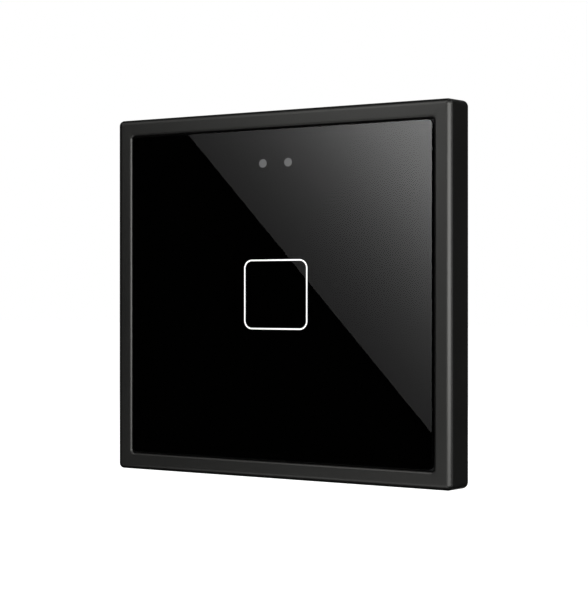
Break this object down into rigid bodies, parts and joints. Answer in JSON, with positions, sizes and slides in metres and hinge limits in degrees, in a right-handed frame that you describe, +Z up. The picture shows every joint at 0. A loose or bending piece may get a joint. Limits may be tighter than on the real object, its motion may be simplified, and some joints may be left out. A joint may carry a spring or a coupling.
{
  "type": "touch switch",
  "caption": "Square wall touch switch: black glass panel in a moulded frame that pulls off a steel yoke, with a screw-terminal module behind the wall plane.",
  "frame": {"origin": "centre of the mounting yoke's rear face, on the wall plane", "axes": "+X to the right seen from the front, +Z up, the front faces -Y, and +Y runs into the wall box"},
  "size_m": [0.086, 0.0337, 0.086],
  "materials": {
    "frame_black": "fine matt moulded black",
    "clear_glass": "polished flat glass with ground edges",
    "black_print": "opaque black print",
    "lit_white": "translucent white, lit from behind",
    "window_grey": "translucent smoke grey",
    "foam_tape": "black foam tape",
    "carrier_black": "moulded black",
    "zinc_steel": "zinc-plated sheet steel",
    "tray_grey": "moulded dark grey",
    "board_green": "green solder mask",
    "spring_steel": "nickel-plated spring wire",
    "guide_clear": "milky translucent",
    "led_pale": "white body with a pale yellow lens",
    "chip_black": "moulded black",
    "capacitor_tan": "tan ceramic",
    "screw_steel": "nickel-plated steel",
    "contact_gold": "gold-plated pins",
    "housing_grey": "moulded dark grey",
    "relay_blue": "moulded blue case",
    "ferrite": "dark ferrite",
    "winding_yellow": "yellow tape over copper",
    "film_yellow": "moulded yellow box",
    "sleeve_black": "black sleeve, bare top",
    "varistor_blue": "blue dipped disc",
    "bar_copper": "tin-plated brass",
    "terminal_green": "moulded green",
    "cage_steel": "plated steel"
  },
  "bodies": {
    "base": {"mounting_yoke": "zinc_steel", "front_tray": "tray_grey", "touch_pcb": "board_green", "power_pcb": "board_green", "touch_spring": "spring_steel", "light_guide": "guide_clear", "symbol_leds": "led_pale", "indicator_led": "led_pale", "infrared_receiver": "chip_black", "window_shroud": "carrier_black", "touch_chip": "chip_black", "chip_resistors": "chip_black", "chip_capacitors": "capacitor_tan", "board_screws": "screw_steel", "header_block": "chip_black", "header_pins": "contact_gold", "header_socket": "chip_black", "rear_housing": "housing_grey", "housing_screws": "screw_steel", "relay": "relay_blue", "transformer_core": "ferrite", "transformer_winding": "winding_yellow", "film_capacitor": "film_yellow", "electrolytic_capacitors": "sleeve_black", "varistor": "varistor_blue", "fuse": "chip_black", "bridge_rectifier": "chip_black", "choke": "ferrite", "supply_chip": "chip_black", "terminal_busbars": "bar_copper", "terminal_block_1": "terminal_green", "terminal_block_2": "terminal_green", "terminal_block_3": "terminal_green"},
    "frame": {"outer_frame": "frame_black"},
    "front_panel": {"glass_panel": "clear_glass", "mask_film": "black_print", "symbol_inlay": "lit_white", "window_inlays": "window_grey", "panel_tape": "foam_tape", "panel_carrier": "carrier_black"},
    "terminal_screw_1": {"terminal_screw_1": "screw_steel"},
    "terminal_cage_1": {"terminal_cage_1": "cage_steel"},
    "terminal_screw_2": {"terminal_screw_2": "screw_steel"},
    "terminal_cage_2": {"terminal_cage_2": "cage_steel"},
    "terminal_screw_3": {"terminal_screw_3": "screw_steel"},
    "terminal_cage_3": {"terminal_cage_3": "cage_steel"}
  },
  "joints": [
    {"name": "frame_pull_off", "type": "slide", "parent": "base", "child": "frame", "axis": [0, -1, 0], "range_m": [0, 0.02]},
    {"name": "panel_pull_out", "type": "slide", "parent": "frame", "child": "front_panel", "axis": [0, -1, 0], "range_m": [0, 0.012]},
    {"name": "screw_1_turn", "type": "hinge", "parent": "base", "child": "terminal_screw_1", "pos_m": [-0.0082, 0.01775, -0.0196], "axis": [0, -1, 0], "range_deg": [0, 2160]},
    {"name": "cage_1_lift", "type": "slide", "parent": "base", "child": "terminal_cage_1", "axis": [0, 1, 0], "range_m": [0, 0.003]},
    {"name": "screw_2_turn", "type": "hinge", "parent": "base", "child": "terminal_screw_2", "pos_m": [0, 0.01775, -0.0196], "axis": [0, -1, 0], "range_deg": [0, 2160]},
    {"name": "cage_2_lift", "type": "slide", "parent": "base", "child": "terminal_cage_2", "axis": [0, 1, 0], "range_m": [0, 0.003]},
    {"name": "screw_3_turn", "type": "hinge", "parent": "base", "child": "terminal_screw_3", "pos_m": [0.0082, 0.01775, -0.0196], "axis": [0, -1, 0], "range_deg": [0, 2160]},
    {"name": "cage_3_lift", "type": "slide", "parent": "base", "child": "terminal_cage_3", "axis": [0, 1, 0], "range_m": [0, 0.003]}
  ],
  "couplings": [
    {"joint": "screw_1_turn", "follows": "cage_1_lift", "rad_per_m": 12566},
    {"joint": "screw_2_turn", "follows": "cage_2_lift", "rad_per_m": 12566},
    {"joint": "screw_3_turn", "follows": "cage_3_lift", "rad_per_m": 12566}
  ]
}
